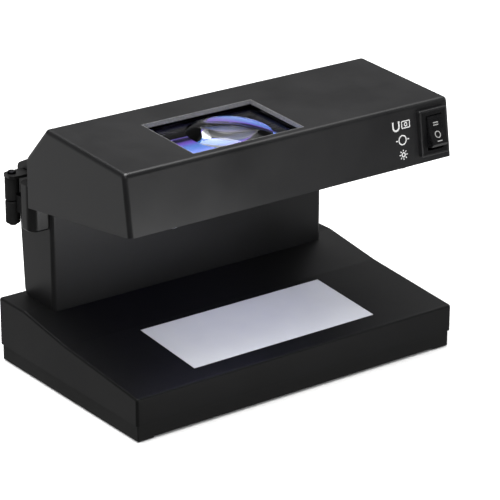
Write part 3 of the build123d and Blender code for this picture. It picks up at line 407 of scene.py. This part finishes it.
def control_marks():
    """Pictograms beside the switch: a magnet with a note, a ring between two dashes, and a lamp with rays."""
    thin, bold, magnet_line = 0.5 * MM, 0.6 * MM, 0.9 * MM
    magnet_x, note_x, ring_x, lamp_x = 63.4 * MM, 69.6 * MM, 67.0 * MM, 67.0 * MM
    top_z, ring_z, lamp_z = 125.3 * MM, 117.8 * MM, 110.4 * MM
    bend_radius, bend_z, pole_z = 1.9 * MM, top_z - 0.4 * MM, top_z + 2.3 * MM
    bend = arc(magnet_x, bend_z, bend_radius, 180, 360, 16)
    left = bar(magnet_x - bend_radius, pole_z, magnet_x - bend_radius, bend_z)
    right = bar(magnet_x + bend_radius, bend_z, magnet_x + bend_radius, pole_z)
    lines = [(np.concatenate([left, bend[1:-1], right]), magnet_line, False)]
    half_long, half_high = 2.5 * MM, 1.7 * MM
    corners = np.array([(-half_long, -half_high), (half_long, -half_high), (half_long, half_high),
                        (-half_long, half_high)]) + (note_x, top_z)
    for begin, end in zip(corners, np.roll(corners, -1, 0)):
        lines.append((bar(*begin, *end), thin, False))
    lines.append((arc(note_x, top_z, 0.85 * MM), thin, True))
    lines.append((arc(ring_x, ring_z, 2.3 * MM), bold, True))
    dash_start, dash_end = 3.1 * MM, 4.2 * MM
    lines.append((bar(ring_x - dash_end, ring_z, ring_x - dash_start, ring_z), bold, False))
    lines.append((bar(ring_x + dash_start, ring_z, ring_x + dash_end, ring_z), bold, False))
    lines.append((arc(lamp_x, lamp_z, 1.0 * MM), bold, True))
    ray_start, ray_end = 1.7 * MM, 2.6 * MM
    for turn in np.radians(np.arange(0, 360, 45)):
        way = np.array([math.cos(turn), math.sin(turn)])
        near, far = (lamp_x, lamp_z) + ray_start * way, (lamp_x, lamp_z) + ray_end * way
        lines.append((bar(*near, *far), thin, False))
    printed("control_marks", lines, face_place, WHITE_INK, "housing")


def rocker_marks():
    """Two dashes, a ring and one dash down the rocker, for its three positions."""
    line, half, ring_height = 0.5 * MM, 1.6 * MM, -2.2 * MM
    lines = [(bar(-half, height * MM, half, height * MM), line, False) for height in (3.9, 2.7, -5.6)]
    lines.append((arc(0.0, ring_height, half), line, True))
    printed("rocker_marks", lines, rocker_place, WORN_INK, "rocker")


# pad-printed ink: dry, very slightly broken white
WHITE_INK = moulded("pad_printed_white_ink", "#a4a4a2", "#bababa", 0.6, grain_mm=0.35, grain_strength=0.1)
# the same ink on the rocker, rubbed to grey
WORN_INK = moulded("rubbed_ink", "#6d6d6c", "#8f8f8d", 0.5, grain_mm=0.35, grain_strength=0.1)
control_marks()
rocker_marks()


# ---------------------------------------------------------------- studio
# brightness of the mirrored room's wall, low and high, and of its bright patch; power of two of the lights
WALL_LOW, WALL_HIGH, HIGH_GLOW = 0.5, 0.05, 1.5
TOP_POWER, CARD_POWER = 22, 1.2


def softbox(name, place, target, size, power):
    """White rectangular area light aimed at a point."""
    light = bpy.data.lights.new(name, "AREA")
    light.shape = "RECTANGLE"
    light.size, light.size_y = size
    light.energy = power
    lamp = bpy.data.objects.new(name, light)
    lamp.location = place
    lamp.rotation_euler = (Vector(target) - Vector(place)).to_track_quat("-Z", "Y").to_euler()
    bpy.context.scene.collection.objects.link(lamp)


def pale_floor():
    """Large pale floor, a square sheet at height nought: a paper tooth keeps it from being one flat colour."""
    reach, rows = 3.0, 5
    grid = np.linspace(-reach, reach, rows)
    xs, ys = np.meshgrid(grid, grid, indexing="ij")
    points = np.stack([xs, ys, np.zeros_like(xs)], -1).reshape(-1, 3)
    index = np.arange(rows * rows).reshape(rows, rows)
    faces = np.stack([index[:-1, :-1], index[1:, :-1], index[1:, 1:], index[:-1, 1:]], -1).reshape(-1, 4)
    mesh = bpy.data.meshes.new("pale_floor")
    mesh.from_pydata(points.tolist(), [], faces.tolist())
    floor = bpy.data.objects.new("pale_floor", mesh)
    bpy.context.scene.collection.objects.link(floor)
    material, tree, shader, place = new_material("pale_paper")
    tooth = add_node(tree, "ShaderNodeTexNoise", [(place, "Vector")], in_Scale=1.0 / (30 * MM), in_Detail=5.0)
    colour = add_node(tree, "ShaderNodeValToRGB", [(tooth.outputs["Fac"], 0)],
                      stops=[(0.3, linear("#fbfbfb")), (0.7, linear("#fdfdfd"))])
    tree.links.new(colour.outputs[0], shader.inputs["Base Color"])
    shader.inputs["Roughness"].default_value = 0.9
    shader.inputs["Specular IOR Level"].default_value = 0.1
    mesh.materials.append(material)
    floor.visible_glossy = False


def patch(tree, direction, azimuth, elevation, stops):
    """A round patch of the room: a value that ramps with the cosine between a direction and the patch's
    middle, mapped from minus one and one to nought and one."""
    turn, rise = math.radians(azimuth), math.radians(elevation)
    middle = (math.cos(turn) * math.cos(rise), math.sin(turn) * math.cos(rise), math.sin(rise))
    cosine = add_node(tree, "ShaderNodeVectorMath", [(direction, 0)], operation="DOT_PRODUCT", in_1=middle)
    share = add_node(tree, "ShaderNodeMapRange", [(cosine.outputs["Value"], 0)], in_1=-1.0, in_2=1.0)
    ramp = add_node(tree, "ShaderNodeValToRGB", [(share.outputs[0], 0)],
                    stops=[(place, grey(value)) for place, value in stops])
    return ramp.outputs[0]


def studio():
    """Soft boxes in a pale room. What glossy faces mirror is a room with a dark side, a wall that falls off
    upwards, a dark patch ahead and a bright patch high up behind. Seen directly the room is plain white."""
    world = bpy.data.worlds.new("studio")
    bpy.context.scene.world = world
    world.use_nodes = True
    tree = world.node_tree
    shown = tree.nodes["Background"]
    direction = add_node(tree, "ShaderNodeTexCoord").outputs["Object"]
    flat = add_node(tree, "ShaderNodeVectorMath", [(direction, 0)], operation="MULTIPLY", in_1=(1, 1, 0))
    plan = add_node(tree, "ShaderNodeVectorMath", [(flat.outputs[0], 0)], operation="NORMALIZE").outputs[0]
    height = add_node(tree, "ShaderNodeSeparateXYZ", [(direction, "Vector")]).outputs["Z"]
    wall = add_node(tree, "ShaderNodeMapRange", [(height, 0)], in_1=-0.15, in_2=0.35, in_3=WALL_LOW,
                    in_4=WALL_HIGH)
    dark_side = patch(tree, plan, 216.8, 0.0, [(0.45, 1.0), (0.78, 0.1)])
    dark_ahead = patch(tree, direction, -42.0, 25.0, [(0.86, 1.0), (0.94, 0.1)])
    bright_high = patch(tree, direction, 36.8, 62.0, [(0.93, 0.0), (0.985, HIGH_GLOW)])
    mirrored = wall.outputs[0]
    for factor, blend in ((dark_side, "MULTIPLY"), (dark_ahead, "MULTIPLY"), (bright_high, "ADD")):
        mirrored = add_node(tree, "ShaderNodeMix", [(mirrored, 6), (factor, 7)], data_type="RGBA",
                            blend_type=blend, in_0=1.0).outputs[2]
    glossy_ray = add_node(tree, "ShaderNodeLightPath").outputs["Is Glossy Ray"]
    seen = add_node(tree, "ShaderNodeMix", [(glossy_ray, 0), (mirrored, 7)], data_type="RGBA", in_6=grey(1.0))
    tree.links.new(seen.outputs[2], shown.inputs["Color"])
    shown.inputs["Strength"].default_value = 1.0
    softbox("top_box", (-0.1, 0.1, 1.3), (0, 0, 0.05), (1.2, 0.9), TOP_POWER)
    softbox("front_left_box", (-1.1, -1.3, 0.8), (0, 0, 0.07), (0.9, 0.9), 3)
    softbox("right_box", (1.3, -0.5, 0.6), (0, 0, 0.07), (0.6, 0.9), 2)
    softbox("floor_card", (0.03, -0.34, 0.004), (0.03, -0.34, 1.0), (0.22, 0.3), CARD_POWER)
    bpy.context.scene.view_settings.view_transform = "Standard"


def camera():
    """Long lens from the front left, a little above. Distance, across and above are the camera's place about
    the middle of the base's front edge, along its own three axes; the focal length is a share of the width of
    the sensor."""
    azimuth, elevation, roll = math.radians(-36.837), math.radians(21.659), math.radians(0.195)
    distance, across, above = 1.2783, -0.02504, 0.07125
    focal_share, sensor_mm = 5.142, 36.0
    back = Vector((math.sin(azimuth) * math.cos(elevation), -math.cos(azimuth) * math.cos(elevation),
                   math.sin(elevation)))
    right = Vector((0, 0, 1)).cross(back).normalized()
    up = back.cross(right)
    turned_right = math.cos(roll) * right + math.sin(roll) * up
    turned_up = -math.sin(roll) * right + math.cos(roll) * up
    base_front = Vector((0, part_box("base_upper_shell")[0].y, 0))
    data = bpy.data.cameras.new("camera")
    data.lens = focal_share * sensor_mm
    data.sensor_width = sensor_mm
    data.clip_start, data.clip_end = 0.05, 20.0
    made = bpy.data.objects.new("camera", data)
    axes = Matrix((turned_right, turned_up, back)).transposed().to_4x4()
    axes.translation = base_front + back * distance + turned_right * across + turned_up * above
    made.matrix_world = axes
    bpy.context.scene.collection.objects.link(made)
    bpy.context.scene.camera = made


pale_floor()
studio()
camera()
